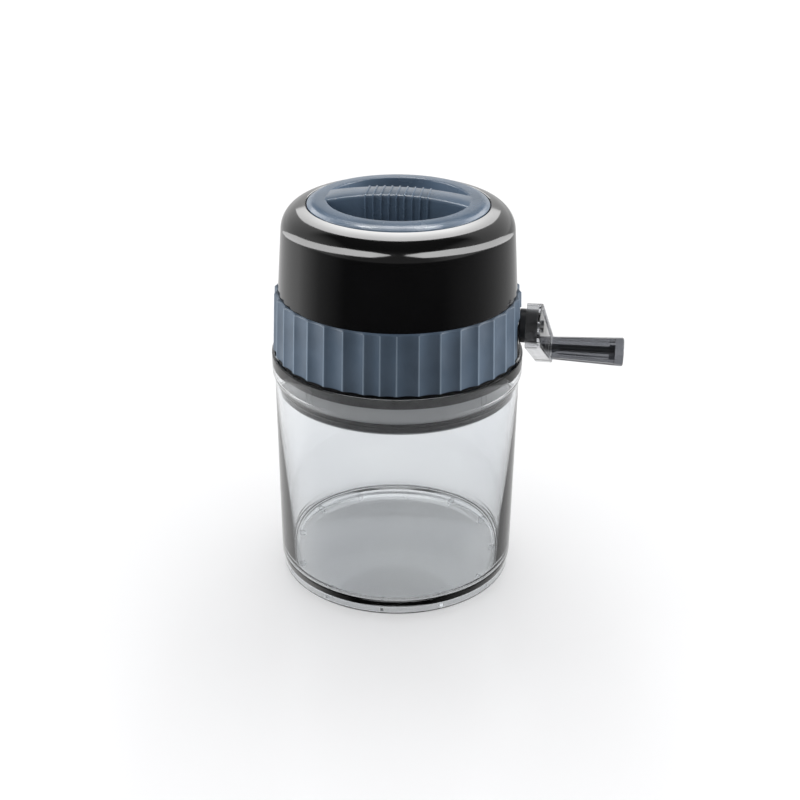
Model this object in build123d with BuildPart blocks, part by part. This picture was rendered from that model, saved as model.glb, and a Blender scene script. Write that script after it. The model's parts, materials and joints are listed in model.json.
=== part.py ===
# Hand-cranked ice crusher: clear jar, grinder head with a grip band, lift-off lid and side crank.
# Millimetres, +Z up, +X towards the crank. The origin is the centre of the jar's foot.

import os
from math import acos, atan, atan2, cos, degrees, radians, sin

from build123d import *

# Jar
body_r = 67.9
jar_height = 133.0
jar_wall = 2.5
jar_draft = 0.7
jar_floor = 3.0
floor_curve = 4.0
foot_step = 1.6
foot_height = 4.0
foot_wall = 3.0
foot_turn_height = 4.5
rim_bead = 1.4
rim_wall = 2.7
rim_depth = 15.0
rim_flare = 3.5
rib_count = 12
rib_width = 1.4
rib_length = 5.0

# Grinder head, outside
rim_to_shell = 4.4
shell_wall = 2.5
flange_thick = 1.2
flange_lip = 2.2
band_height = 33.5
band_low_thick = 3.55
band_high_thick = 2.1
band_flutes = 36
narrow_flutes = 2
narrow_share = 0.75
flute_depth = 1.15
ridge_width = 0.35
side_height = 34.9
side_taper = 2.5
shoulder_r = 13.8
dome_rise = 13.1
shoulder_width = 16.0
mouth_step = 1.5
ledge_depth = 4.0
ledge_width = 2.5
pad_half = 9.75
pad_sink = 0.2
band_chamfer = 0.6
collar_depth = 6.3
floor_plate = 2.8
spigot_height = 2.0
neck_height = 15.5
neck_lip = 1.0
neck_wall = 2.2
skirt_lift = 4.0
neck_rib_width = 1.0
neck_rib_depth = 1.2
neck_rib_count = 8
neck_rib_turn = 7.0
seal_height = 5.6
seal_stand = 0.6
seal_depth = 1.0

# Grinder inside
crank_rise = 15.3
rotor_r = 21.5
rotor_clearance = 1.5
blade_count = 5
blade_pitch = 10.0
blade_thick = 3.0
blade_turn = 24.0
stator_thick = 2.0
stator_height = 10.0
grinder_end = 10.0
grinder_wall = 2.5
grinder_over = 5.0
grinder_foot = 9.0
foot_screw_out = 5.0
foot_screw_in = 6.0
rivet_x = 20.0
rivet_head = 1.0
square = 7.0
tooth_root = 2.5
circlip_wide = 1.0
circlip_in = 0.8
circlip_out = 2.5
shaft_over = 3.5
journal_r = 5.0
spacer_wall = 1.5
bush_wall = 2.0
bush_rim = 1.5
bush_flange = 1.5
hopper_mouth = 9.2
hopper_wall = 1.8

# Lid
lid_gap = 0.55
lid_crown = 2.3
lid_ring = 10.6
lid_wall = 2.2
pocket_depth = 11.0
bar_half = 8.2
bar_end_half = 10.0
bar_rise = 4.0
bar_rib_count = 9
bar_rib_pitch = 4.1
bar_rib_width = 0.9
bar_rib_height = 0.6

# Crank and handle
sleeve_r = 9.25
sleeve_neck_r = 6.5
bearing_wall = 1.85
bearing_boss = 1.8
bearing_reach = 3.0
sleeve_reach = 4.0
shaft_in_sleeve = 14.0
screw_in_shaft = 9.0
screw_seat = 1.2
screw_slot = 0.8
arm_stand = 3.6
arm_thick = 9.0
arm_slope = 0.118
arm_length = 48.0
arm_drop = 37.0
arm_hub_wall = 3.1
arm_end_r = 8.5
arm_cover = 1.3
arm_groove = 0.6
arm_border = 1.1
arm_edge = 1.3
handle_length = 41.0
handle_low_r = 6.6
handle_high_r = 8.3
handle_flutes = 12
handle_flute_depth = 0.4
handle_seat = 0.6
cap_length = 5.0
pin_r = 2.5
pin_head = 2.0
pin_head_long = 3.0
flute_start = 2.0

# Screws
screw_r = 1.5
screw_head_r = 2.8
screw_head = 1.8
post_r = 3.4
pilot_depth = 16.0

# Fits
running = 0.05
easy = 0.3
axial = 0.2

# Worked out: radii about the jar's axis
jar_low_r = body_r - jar_draft
foot_r = body_r - foot_step
rim_r = body_r + rim_bead
rim_in_r = rim_r - rim_wall
shell_r = rim_r - rim_to_shell
shell_in_r = shell_r - shell_wall
spigot_r = shell_in_r - axial
flange_r = shell_r + flange_lip
band_low_r = shell_r + band_low_thick
band_high_r = shell_r + band_high_thick
shoulder_low_r = shell_r - side_taper
opening_r = shell_r - shoulder_width
ledge_r = opening_r - ledge_width
lid_edge_r = opening_r - lid_gap
hopper_r = ledge_r + 0.4

# Worked out: heights above the foot
floor_top_z = foot_height + jar_floor
jar_low_z = foot_height + foot_turn_height
jar_high_z = jar_height - rim_depth
rim_low_z = jar_high_z + rim_flare
collar_low_z = jar_height - collar_depth
floor_low_z = jar_height - floor_plate
neck_low_z = collar_low_z - neck_height
seal_low_z = neck_low_z + neck_lip
seal_high_z = seal_low_z + seal_height
skirt_low_z = neck_low_z + skirt_lift
band_low_z = jar_height + flange_thick
band_high_z = band_low_z + band_height
boss_z = band_low_z + spigot_height + axial
crank_z = band_low_z + crank_rise
shoulder_low_z = band_high_z + side_height
head_height = shoulder_low_z + dome_rise
ledge_z = head_height - ledge_depth
lid_edge_z = head_height - 0.1
hopper_top_z = ledge_z - shell_wall - hopper_mouth

# Worked out: seal and neck inside the jar
draft = jar_draft / (jar_high_z - jar_low_z)
seal_r = jar_low_r + draft * (seal_low_z - jar_low_z) - jar_wall - easy
neck_r = seal_r - seal_stand
skirt_out_r = neck_r - neck_wall
post_ring_r = skirt_out_r - neck_wall - screw_head_r - easy

# Worked out: grinder and crank
grinder_half_x = blade_pitch * (blade_count - 1) / 2 + grinder_end
grinder_half_y = rotor_r + rotor_clearance + stator_thick
grinder_top_z = crank_z + rotor_r + grinder_over
throat_x = grinder_half_x + grinder_wall
throat_y = grinder_half_y + grinder_wall
spacer_r = journal_r + spacer_wall
bush_r = journal_r + bush_wall
bush_flange_r = bush_r + bush_rim
bearing_r = sleeve_neck_r + running + bearing_wall
shaft_end_x = grinder_half_x - bush_flange - axial
pad_x = band_high_r - pad_sink
bearing_low_x = shell_in_r - bearing_reach
sleeve_low_x = shell_in_r - sleeve_reach
shaft_high_x = sleeve_low_x + shaft_in_sleeve
arm_hub_r = sleeve_r + arm_hub_wall
arm_low_x = pad_x + arm_stand
arm_end_x = arm_low_x + arm_thick + arm_slope * arm_length
handle_y = arm_length * cos(radians(arm_drop))
handle_z = crank_z - arm_length * sin(radians(arm_drop))
crank_axis = Plane(origin=(0, 0, crank_z), x_dir=(0, 1, 0), z_dir=(1, 0, 0))
arm_axis = Plane(
    origin=(0, 0, crank_z),
    x_dir=(0, cos(radians(arm_drop)), -sin(radians(arm_drop))),
    z_dir=(1, 0, 0),
)
handle_axis = Plane(origin=(0, handle_y, handle_z), x_dir=(0, 1, 0), z_dir=(1, 0, 0))


def ring(low, high, outer, inner):
    """A plain ring about the Z axis, in the part that is being built."""
    turned(Plane.XY, low, high, outer, inner)


def turned(plane, low, high, outer, inner=0.0, mode=Mode.ADD):
    """A ring or a disc about the axis of the plane, from low to high along it."""
    with BuildSketch(plane.offset(low)) as section:
        Circle(outer)
        if inner:
            Circle(inner, mode=Mode.SUBTRACT)
    extrude(section.sketch, amount=high - low, mode=mode)


def on_posts(z, radius):
    """Four circles where the housing screws stand."""
    with BuildSketch(Plane.XY.offset(z)) as circles:
        with PolarLocations(post_ring_r, 4, start_angle=45):
            Circle(radius)
    return circles.sketch


def on_feet(z, radius):
    """Four circles where the grinder screws stand."""
    with BuildSketch(Plane.XY.offset(z)) as circles:
        with GridLocations(2 * (throat_x + foot_screw_out), 2 * (grinder_half_y - foot_screw_in), 2, 2):
            Circle(radius)
    return circles.sketch


def save(part, name):
    part.label = name
    export_step(part, f"parts/{name}.step")


os.makedirs("parts", exist_ok=True)

# --- Clear jar: drafted wall, thick rim, raised floor and a ribbed foot ring ---
with BuildPart() as jar:
    with BuildSketch(Plane.XZ):
        with BuildLine():
            inner_low = (jar_low_r - jar_wall, floor_top_z + floor_curve)
            inner_high = (body_r - jar_wall, jar_high_z)
            Polyline(
                (0, floor_top_z),
                (inner_low[0] - floor_curve, floor_top_z),
                inner_low,
                inner_high,
                (rim_in_r, rim_low_z),
                (rim_in_r, jar_height),
                (rim_r, jar_height),
                (rim_r, rim_low_z),
                (body_r, jar_high_z),
                (jar_low_r, jar_low_z),
                (foot_r, foot_height),
                (foot_r, 0),
                (foot_r - foot_wall, 0),
                (foot_r - foot_wall, foot_height),
                (0, foot_height),
                close=True,
            )
        make_face()
    revolve(axis=Axis.Z)
    fillet(jar.edges().group_by(Axis.Z)[-1], rim_wall * 0.3)
    fillet(jar.edges().group_by(Axis.Z)[0].sort_by(SortBy.LENGTH)[-1], 0.8)
    with BuildSketch(Plane.XY.offset(foot_height / 3)):
        with PolarLocations(foot_r - foot_wall - rib_length / 2 + 0.5, rib_count):
            Rectangle(rib_length + 1, rib_width)
    extrude(amount=foot_height)
save(jar.part, "jar")

# --- Lower housing: collar in the rim, flange on the rim, floor with the ice outlet ---
with BuildPart() as lower_housing:
    ring(collar_low_z, jar_height, rim_in_r - easy, rim_in_r - easy - shell_wall)
    ring(jar_height, band_low_z, flange_r, spigot_r - shell_wall)
    ring(band_low_z, band_low_z + spigot_height, spigot_r, spigot_r - shell_wall)
    ring(skirt_low_z, floor_low_z, skirt_out_r, skirt_out_r - neck_wall)
    turned(Plane.XY, floor_low_z, jar_height, rim_in_r - easy)
    extrude(on_posts(jar_height, post_r), amount=boss_z - jar_height)
    with BuildSketch(Plane.XY.offset(floor_low_z)):
        Rectangle(2 * grinder_half_x, 2 * grinder_half_y)
    extrude(amount=jar_height - floor_low_z, mode=Mode.SUBTRACT)
    extrude(on_posts(floor_low_z, screw_r), amount=boss_z - floor_low_z, mode=Mode.SUBTRACT)
    extrude(on_feet(floor_low_z, screw_r), amount=floor_plate, mode=Mode.SUBTRACT)
save(lower_housing.part, "lower_housing")

# --- Clear neck ring that carries the seal, with small guide ribs ---
with BuildPart() as neck_ring:
    ring(seal_high_z, collar_low_z, neck_r, skirt_out_r)
    ring(seal_low_z, seal_high_z, neck_r - seal_depth, skirt_out_r)
    ring(neck_low_z, seal_low_z, neck_r - axial, skirt_out_r)
    with BuildSketch(Plane.XY.offset(seal_high_z)):
        with PolarLocations(neck_r - easy, neck_rib_count, start_angle=neck_rib_turn):
            Rectangle(neck_rib_depth, neck_rib_width)
    extrude(amount=collar_low_z - seal_high_z)
save(neck_ring.part, "neck_ring")

with BuildPart() as jar_seal:
    ring(seal_low_z, seal_high_z, seal_r, neck_r - seal_depth)
    chamfer(jar_seal.edges().filter_by(GeomType.CIRCLE).sort_by(SortBy.RADIUS)[-2:], 0.35)
save(jar_seal.part, "jar_seal")

# --- Upper housing: one moulded shell with a generous shoulder and the crank pad ---
side = Vector(shoulder_low_r - shell_r, shoulder_low_z - band_high_z).normalized()
inward = Vector(-side.Y, side.X)
arc_centre = Vector(shoulder_low_r, shoulder_low_z) + inward * shoulder_r
to_opening = Vector(opening_r, head_height) - arc_centre
start_angle = degrees(atan2(-inward.Y, -inward.X))
end_angle = degrees(atan2(to_opening.Y, to_opening.X))
end_angle -= degrees(acos(shoulder_r / to_opening.length))


def shell_outline(inset, low_z, mouth_r, mouth_z):
    """Half the section of the shell, closed along the axis side."""
    with BuildLine() as outline:
        arc = CenterArc(arc_centre, shoulder_r - inset, start_angle, end_angle - start_angle)
        Polyline(
            arc @ 0,
            (shell_r - inset, band_high_z),
            (shell_r - inset, low_z),
            (0, low_z),
            (0, mouth_z),
            (mouth_r, mouth_z),
            arc @ 1,
        )
    make_face(outline.edges())


def notch_outline(half):
    """A round top about the crank axis with straight sides down to the band's lower edge."""
    Circle(half)
    Rectangle(2 * half, crank_z - band_low_z, align=(Align.CENTER, Align.MAX))


with BuildPart() as upper_housing:
    with BuildSketch(Plane.XZ):
        shell_outline(0, band_low_z, opening_r, head_height)
    revolve(axis=Axis.Z)
    with BuildSketch(Plane.XZ):
        shell_outline(shell_wall, band_low_z, opening_r + mouth_step, ledge_z - shell_wall)
    revolve(axis=Axis.Z, mode=Mode.SUBTRACT)
    turned(Plane.XY, ledge_z, head_height, opening_r, mode=Mode.SUBTRACT)
    turned(Plane.XY, ledge_z - shell_wall, head_height, ledge_r, mode=Mode.SUBTRACT)
    fillet(upper_housing.edges().group_by(Axis.Z)[-1], 0.5)
    # Crank pad in the band's notch, bored for the bearing
    with BuildSketch(crank_axis.offset(shell_in_r)):
        notch_outline(pad_half)
    extrude(amount=pad_x - shell_in_r)
    turned(crank_axis, bearing_low_x, shell_in_r + 1, bearing_r + bearing_boss)
    turned(crank_axis, 0, pad_x, bearing_r, mode=Mode.SUBTRACT)
    # Screw posts on the inside of the wall
    with BuildSketch(Plane.XY.offset(boss_z)):
        with PolarLocations((post_ring_r + shell_in_r) / 2, 4, start_angle=45):
            Rectangle(shell_in_r - post_ring_r + 1, 2.4)
    extrude(amount=pilot_depth + 2)
    extrude(on_posts(boss_z, post_r), amount=pilot_depth + 2)
    extrude(on_posts(boss_z, screw_r), amount=pilot_depth, mode=Mode.SUBTRACT)
save(upper_housing.part, "upper_housing")

# --- Soft grip band: drafted, fluted, with sharp ridges and a notch over the crank pad ---
flute_pitch = 360 / (band_flutes + narrow_flutes * narrow_share)
flute_shares = [narrow_share] * narrow_flutes + [1.0] * band_flutes
band_tilt = atan((band_low_r - band_high_r) / band_height)
with BuildPart() as grip_band:
    with BuildSketch(Plane.XZ):
        with BuildLine():
            Polyline(
                (shell_r, band_low_z),
                (band_low_r, band_low_z),
                (band_high_r, band_high_z - band_chamfer),
                (band_high_r - band_chamfer, band_high_z),
                (shell_r, band_high_z),
                close=True,
            )
        make_face()
    revolve(axis=Axis.Z)
    turn = -90 - narrow_share * flute_pitch
    for share in flute_shares:
        half = radians(share * flute_pitch / 2)
        turn += degrees(half)
        half_chord = band_high_r * sin(half) - ridge_width / 2
        depth = flute_depth * share
        cutter_r = (half_chord**2 + depth**2) / (2 * depth)
        reach = band_high_r * cos(half) - depth + cutter_r
        with BuildSketch(
            Plane(
                origin=(reach * cos(radians(turn)), reach * sin(radians(turn)), band_high_z),
                x_dir=(-sin(radians(turn)), cos(radians(turn)), 0),
                z_dir=(
                    sin(band_tilt) * cos(radians(turn)),
                    sin(band_tilt) * sin(radians(turn)),
                    -cos(band_tilt),
                ),
            ).offset(-2)
        ):
            Circle(cutter_r)
        extrude(amount=band_height + 5, mode=Mode.SUBTRACT)
        turn += degrees(half)
    with BuildSketch(crank_axis):
        notch_outline(pad_half + easy)
    extrude(amount=2 * band_low_r, mode=Mode.SUBTRACT)
save(grip_band.part, "grip_band")

# --- Grinder housing: open box with bush holes and screw feet ---
with BuildPart() as grinder_housing:
    with BuildSketch(Plane.XY.offset(jar_height)):
        Rectangle(2 * throat_x, 2 * throat_y)
        Rectangle(2 * grinder_half_x, 2 * grinder_half_y, mode=Mode.SUBTRACT)
    extrude(amount=grinder_top_z - jar_height)
    with BuildSketch(Plane.XY.offset(jar_height)):
        with GridLocations(2 * throat_x + grinder_foot, 0, 2, 1):
            Rectangle(grinder_foot, 2 * throat_y)
    extrude(amount=grinder_wall)
    extrude(on_feet(jar_height, screw_r), amount=grinder_wall, mode=Mode.SUBTRACT)
    turned(crank_axis, -throat_x - 1, throat_x + 1, bush_r, mode=Mode.SUBTRACT)
    with BuildSketch(Plane.XZ.offset(-throat_y)):
        with Locations((-rivet_x, crank_z), (rivet_x, crank_z)):
            Circle(screw_r)
    extrude(amount=2 * throat_y, mode=Mode.SUBTRACT)
save(grinder_housing.part, "grinder_housing")

# --- Hopper: round mouth under the lid, square throat on the grinder ---
with BuildPart() as hopper:
    with BuildSketch(Plane.XY.offset(grinder_top_z)):
        Rectangle(2 * throat_x, 2 * throat_y)
    with BuildSketch(Plane.XY.offset(hopper_top_z)):
        Circle(hopper_r + hopper_wall)
    loft()
    turned(Plane.XY, hopper_top_z, ledge_z - shell_wall, hopper_r + hopper_wall)
    with BuildSketch(Plane.XY.offset(grinder_top_z)):
        Rectangle(2 * grinder_half_x, 2 * grinder_half_y)
    with BuildSketch(Plane.XY.offset(hopper_top_z)):
        Circle(hopper_r)
    loft(mode=Mode.SUBTRACT)
    turned(Plane.XY, hopper_top_z, ledge_z - shell_wall, hopper_r, mode=Mode.SUBTRACT)
save(hopper.part, "hopper")

# --- Fixed combs, front and rear, and the rivets that hold them ---
tooth_tip_y = spacer_r + rotor_clearance
strip_y = grinder_half_y - stator_thick
stator_side = {"front": -1, "rear": 1}
for place, side_sign in stator_side.items():
    with BuildPart() as stator:
        with BuildSketch(Plane.XY.offset(crank_z - stator_height / 2)):
            with Locations((0, side_sign * (grinder_half_y - stator_thick / 2))):
                Rectangle(2 * grinder_half_x - 4, stator_thick)
            with Locations((0, side_sign * (tooth_tip_y + strip_y) / 2)):
                with GridLocations(blade_pitch, 0, blade_count + 1, 1):
                    Rectangle(stator_thick, strip_y - tooth_tip_y)
        extrude(amount=stator_height)
        with BuildSketch(Plane.XZ.offset(-grinder_half_y)):
            with Locations((-rivet_x, crank_z), (rivet_x, crank_z)):
                Circle(screw_r)
        extrude(amount=2 * grinder_half_y, mode=Mode.SUBTRACT)
    save(stator.part, f"stator_comb_{place}")

with BuildPart() as stator_rivets:
    for side_sign in stator_side.values():
        rivet_axis = Plane(origin=(0, 0, crank_z), x_dir=(1, 0, 0), z_dir=(0, side_sign, 0))
        with BuildSketch(rivet_axis.offset(strip_y)):
            with Locations((-rivet_x, 0), (rivet_x, 0)):
                Circle(screw_r)
        extrude(amount=throat_y - strip_y)
        with BuildSketch(rivet_axis.offset(throat_y)):
            with Locations((-rivet_x, 0), (rivet_x, 0)):
                Circle(screw_head_r)
        extrude(amount=rivet_head)
save(stator_rivets.part, "stator_rivets")

# --- Bushes and the crank bearing ---
for place, side_sign in {"left": -1, "right": 1}.items():
    bush_axis = Plane(origin=(0, 0, crank_z), x_dir=(0, 1, 0), z_dir=(side_sign, 0, 0))
    with BuildPart() as bush:
        turned(bush_axis, grinder_half_x - bush_flange, grinder_half_x, bush_flange_r)
        turned(bush_axis, grinder_half_x, throat_x + 1, bush_r)
        turned(
            bush_axis,
            grinder_half_x - bush_flange,
            throat_x + 1,
            journal_r + running,
            mode=Mode.SUBTRACT,
        )
    save(bush.part, f"{place}_bush")

with BuildPart() as crank_bearing:
    turned(crank_axis, bearing_low_x, pad_x, bearing_r, sleeve_neck_r + running)
save(crank_bearing.part, "crank_bearing")

# --- Screws ---
with BuildPart() as housing_screws:
    extrude(on_posts(floor_low_z, screw_r), amount=boss_z - floor_low_z + pilot_depth - 2)
    extrude(on_posts(floor_low_z, screw_head_r), amount=-screw_head)
save(housing_screws.part, "housing_screws")

with BuildPart() as grinder_screws:
    extrude(on_feet(floor_low_z, screw_r), amount=floor_plate + grinder_wall)
    extrude(on_feet(jar_height + grinder_wall, screw_head_r), amount=screw_head)
save(grinder_screws.part, "grinder_screws")

# --- Crank shaft: square through the grinder, round in the bushes, square in the sleeve ---
circlip_x = -throat_x - 1 - axial
circlip_low_x = circlip_x - circlip_wide
shaft_low_x = circlip_x - shaft_over
with BuildPart() as crank_shaft:
    turned(crank_axis, shaft_low_x, -shaft_end_x, journal_r)
    turned(crank_axis, shaft_end_x, sleeve_low_x, journal_r)
    with BuildSketch(crank_axis.offset(-shaft_end_x)):
        Rectangle(square, square)
    extrude(amount=2 * shaft_end_x)
    with BuildSketch(crank_axis.offset(sleeve_low_x)):
        Rectangle(square, square)
    extrude(amount=shaft_high_x - sleeve_low_x)
    turned(crank_axis, circlip_low_x, circlip_x, 2 * journal_r, journal_r - circlip_in, Mode.SUBTRACT)
    turned(crank_axis, shaft_high_x - screw_in_shaft, shaft_high_x, screw_r, mode=Mode.SUBTRACT)
save(crank_shaft.part, "crank_shaft")

with BuildPart() as circlip:
    turned(crank_axis, circlip_low_x, circlip_x, journal_r + circlip_out, journal_r - circlip_in)
    with BuildSketch(crank_axis.offset(circlip_low_x)):
        Rectangle(journal_r / 2, 2 * journal_r, align=(Align.CENTER, Align.MIN))
    extrude(amount=circlip_wide, mode=Mode.SUBTRACT)
save(circlip.part, "circlip")

# --- Rotor blades, each turned a little from the last, and the spacers between them ---
for index in range(blade_count):
    blade_x = (index - (blade_count - 1) / 2) * blade_pitch
    with BuildPart() as blade:
        with BuildSketch(crank_axis.offset(blade_x - blade_thick / 2)):
            Circle(spacer_r + tooth_root)
            for tooth in range(3):
                with Locations(Location((0, 0, 0), (0, 0, tooth * 120 + index * blade_turn))):
                    Polygon(
                        (4, -6.5),
                        (rotor_r - 3.5, -3.5),
                        (rotor_r - 0.5, 3),
                        (rotor_r - 6, 2),
                        (4, 6.5),
                        align=None,
                    )
            Rectangle(square, square, mode=Mode.SUBTRACT)
        extrude(amount=blade_thick)
    save(blade.part, f"rotor_blade_{index + 1}")

with BuildPart() as blade_spacers:
    edges = [-shaft_end_x]
    for index in range(blade_count):
        blade_x = (index - (blade_count - 1) / 2) * blade_pitch
        edges += [blade_x - blade_thick / 2, blade_x + blade_thick / 2]
    edges += [shaft_end_x]
    for low, high in zip(edges[::2], edges[1::2]):
        with BuildSketch(crank_axis.offset(low)):
            Circle(spacer_r)
            Rectangle(square, square, mode=Mode.SUBTRACT)
        extrude(amount=high - low)
save(blade_spacers.part, "blade_spacers")

# --- Drive sleeve: black core that runs in the bearing and fills the arm's hub ---
sleeve_high_x = arm_low_x + arm_thick - arm_cover - arm_slope * arm_hub_r
with BuildPart() as drive_sleeve:
    turned(crank_axis, sleeve_low_x, pad_x + axial, sleeve_neck_r)
    turned(crank_axis, pad_x + axial, sleeve_high_x, sleeve_r)
    with BuildSketch(crank_axis.offset(sleeve_low_x)):
        Rectangle(square, square)
    extrude(amount=shaft_high_x - sleeve_low_x, mode=Mode.SUBTRACT)
    turned(crank_axis, sleeve_low_x, sleeve_high_x, screw_r, mode=Mode.SUBTRACT)
save(drive_sleeve.part, "drive_sleeve")

# --- Crank arm: clear, wide at the hub, leaning outwards to the handle ---
arm_side = Plane(
    origin=(0, 0, crank_z),
    x_dir=arm_axis.x_dir,
    z_dir=-arm_axis.y_dir,
)
face_x = arm_low_x + arm_thick
arm_face = Plane(
    origin=(face_x, 0, crank_z),
    x_dir=arm_axis.x_dir + Vector(1, 0, 0) * arm_slope,
    z_dir=Vector(1, 0, 0) - arm_axis.x_dir * arm_slope,
)


def arm_outline(plane, inset):
    """The arm's outline on a plane, drawn in from its edge by the inset."""
    with BuildSketch(plane) as outline:
        Circle(arm_hub_r - inset)
        with Locations((arm_length, 0)):
            Circle(arm_end_r - inset)
        make_hull()
    return outline.sketch


screw_seat_x = face_x - screw_seat
handle_seat_x = arm_end_x - handle_seat
reach_low = arm_hub_r + 2
reach_high = arm_length + arm_end_r + 2
with BuildPart() as crank_arm:
    extrude(arm_outline(arm_axis.offset(arm_low_x - 1), 0), amount=arm_end_x - arm_low_x + 4)
    with BuildSketch(arm_side):
        with BuildLine():
            Polyline(
                (-reach_low, arm_low_x),
                (0, arm_low_x),
                (reach_high, arm_low_x + arm_slope * reach_high),
                (reach_high, face_x + arm_slope * reach_high),
                (-reach_low, face_x - arm_slope * reach_low),
                close=True,
            )
        make_face()
    extrude(amount=reach_low, both=True, mode=Mode.INTERSECT)
    extrude(arm_outline(arm_face, arm_edge), amount=-arm_groove, mode=Mode.SUBTRACT)
    extrude(arm_outline(arm_face, arm_edge + arm_border), amount=-arm_groove)
    extrude(arm_outline(arm_face, arm_edge + 2 * arm_border), amount=-arm_groove, mode=Mode.SUBTRACT)
    turned(crank_axis, 0, sleeve_high_x, sleeve_r, mode=Mode.SUBTRACT)
    turned(crank_axis, 0, face_x + 2, screw_r, mode=Mode.SUBTRACT)
    turned(crank_axis, screw_seat_x, face_x + 2, screw_head_r + 0.8, mode=Mode.SUBTRACT)
    turned(handle_axis, 0, arm_end_x + 4, pin_r, mode=Mode.SUBTRACT)
    # Flat seat for the handle on the leaning face
    turned(handle_axis, handle_seat_x, arm_end_x + 4, handle_low_r + easy, mode=Mode.SUBTRACT)
save(crank_arm.part, "crank_arm")

with BuildPart() as crank_screw:
    turned(crank_axis, shaft_high_x - screw_in_shaft, screw_seat_x, screw_r)
    turned(crank_axis, screw_seat_x, screw_seat_x + screw_head, screw_head_r + 0.6)
    with BuildSketch(crank_axis.offset(screw_seat_x + screw_head)):
        Rectangle(screw_head_r * 1.6, screw_slot)
        Rectangle(screw_slot, screw_head_r * 1.6)
    extrude(amount=-screw_head / 2, mode=Mode.SUBTRACT)
save(crank_screw.part, "crank_screw")

# --- Handle: fluted grip and end cap that turn on a shoulder screw ---
handle_low_x = handle_seat_x + axial
handle_high_x = handle_low_x + handle_length
cap_low_x = handle_high_x - cap_length
pin_head_low_x = cap_low_x - pin_head_long
handle_tilt = atan((handle_high_r - handle_low_r) / handle_length)
with BuildPart() as handle_screw:
    turned(handle_axis, arm_low_x + arm_slope * (arm_length - pin_r), pin_head_low_x, pin_r)
    turned(handle_axis, pin_head_low_x, cap_low_x - axial, pin_r + pin_head)
save(handle_screw.part, "handle_screw")

with BuildPart() as handle_grip:
    with BuildSketch(handle_axis.offset(handle_low_x)):
        Circle(handle_low_r)
    with BuildSketch(handle_axis.offset(cap_low_x)):
        Circle(handle_high_r - (handle_high_r - handle_low_r) * cap_length / handle_length)
    loft()
    for index in range(handle_flutes):
        turn = index * 360 / handle_flutes
        half_chord = handle_low_r * sin(radians(180 / handle_flutes)) - 0.2
        cutter_r = (half_chord**2 + handle_flute_depth**2) / (2 * handle_flute_depth)
        reach = handle_low_r * cos(radians(180 / handle_flutes)) - handle_flute_depth + cutter_r
        out = Vector(0, cos(radians(turn)), sin(radians(turn)))
        with BuildSketch(
            Plane(
                origin=Vector(handle_low_x, handle_y, handle_z) + out * reach,
                x_dir=out,
                z_dir=Vector(1, 0, 0) * cos(handle_tilt) + out * sin(handle_tilt),
            ).offset(flute_start)
        ):
            Circle(cutter_r)
        extrude(amount=handle_length, mode=Mode.SUBTRACT)
    turned(handle_axis, handle_low_x, cap_low_x, pin_r + running, mode=Mode.SUBTRACT)
    turned(
        handle_axis,
        pin_head_low_x - axial,
        cap_low_x,
        pin_r + pin_head + easy,
        mode=Mode.SUBTRACT,
    )
save(handle_grip.part, "handle_grip")

with BuildPart() as handle_cap:
    with BuildSketch(handle_axis.offset(cap_low_x)):
        Circle(handle_high_r - (handle_high_r - handle_low_r) * cap_length / handle_length)
    with BuildSketch(handle_axis.offset(handle_high_x)):
        Circle(handle_high_r)
    loft()
    fillet(handle_cap.edges().group_by(Axis.X)[-1], 0.7)
save(handle_cap.part, "handle_cap")

# --- Lid: crowned ring, two half-moon pockets and a ribbed bar to lift it by ---
pocket_r = lid_edge_r - lid_ring
bar_top_z = lid_edge_z + lid_crown + bar_rise
pocket_floor_z = lid_edge_z + lid_crown - pocket_depth
skirt_r = ledge_r - easy - 0.1


def bar_solid(grow):
    """The bar's block: bowed sides in plan and an arched top, grown on every side."""
    with BuildSketch(Plane.XY.offset(pocket_floor_z - 1)) as plan:
        with BuildLine():
            ThreePointArc(
                (-pocket_r, -bar_end_half - grow),
                (0, -bar_half - grow),
                (pocket_r, -bar_end_half - grow),
            )
            Line((pocket_r, -bar_end_half - grow), (pocket_r, bar_end_half + grow))
            ThreePointArc(
                (pocket_r, bar_end_half + grow),
                (0, bar_half + grow),
                (-pocket_r, bar_end_half + grow),
            )
            Line((-pocket_r, bar_end_half + grow), (-pocket_r, -bar_end_half - grow))
        make_face()
    extrude(plan.sketch, amount=bar_top_z - pocket_floor_z + 5)
    with BuildSketch(Plane.XZ.offset(-lid_edge_r)) as side_view:
        with BuildLine():
            Polyline(
                (-pocket_r, bar_top_z - bar_rise + grow),
                (-pocket_r, pocket_floor_z - 1),
                (pocket_r, pocket_floor_z - 1),
                (pocket_r, bar_top_z - bar_rise + grow),
            )
            ThreePointArc(
                (pocket_r, bar_top_z - bar_rise + grow),
                (0, bar_top_z + grow),
                (-pocket_r, bar_top_z - bar_rise + grow),
            )
        make_face()
    extrude(side_view.sketch, amount=2 * lid_edge_r, mode=Mode.INTERSECT)


with BuildPart() as lid_bar:
    bar_solid(0)

with BuildPart() as lid_bar_ribs:
    bar_solid(bar_rib_height)
    with BuildSketch(Plane.XY.offset(pocket_floor_z - 1)):
        with GridLocations(bar_rib_pitch, 0, bar_rib_count, 1):
            Rectangle(bar_rib_width, 2 * lid_edge_r)
    extrude(amount=bar_top_z, mode=Mode.INTERSECT)

with BuildPart() as bar_hollow:
    bar_solid(-lid_wall)

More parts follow.
